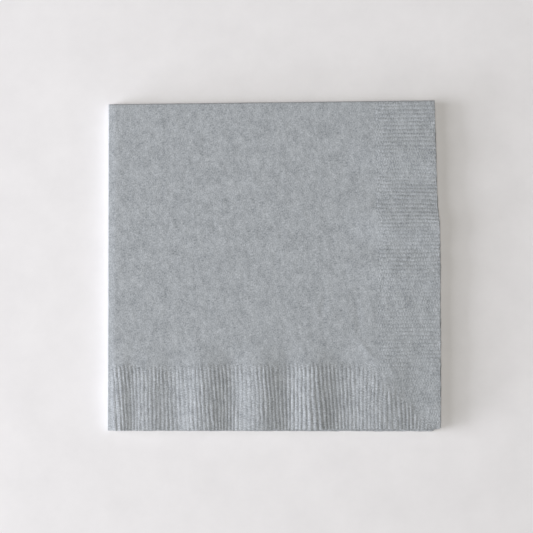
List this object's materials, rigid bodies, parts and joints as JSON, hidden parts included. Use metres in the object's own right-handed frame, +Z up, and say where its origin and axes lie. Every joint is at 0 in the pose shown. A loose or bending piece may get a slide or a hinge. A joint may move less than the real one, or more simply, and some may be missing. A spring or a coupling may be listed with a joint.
{
  "type": "folded cocktail napkin",
  "caption": "Square napkin of soft embossed tissue paper, lying folded flat, with a fine ribbed and gently rippling border along its cut edges.",
  "frame": {"origin": "middle of the underside, on the surface that the folded napkin lies on", "axes": "+Z up through the layers; +X away from the left fold, to the open right edges; +Y towards the far fold, away from the open front edges"},
  "size_m": [0.129, 0.129, 0.0066],
  "materials": {
    "tissue_paper": "matt grey multi-ply tissue paper, softly mottled, with a pressed ribbed border"
  },
  "bodies": {
    "root": {"napkin": "tissue_paper"}
  },
  "joints": []
}
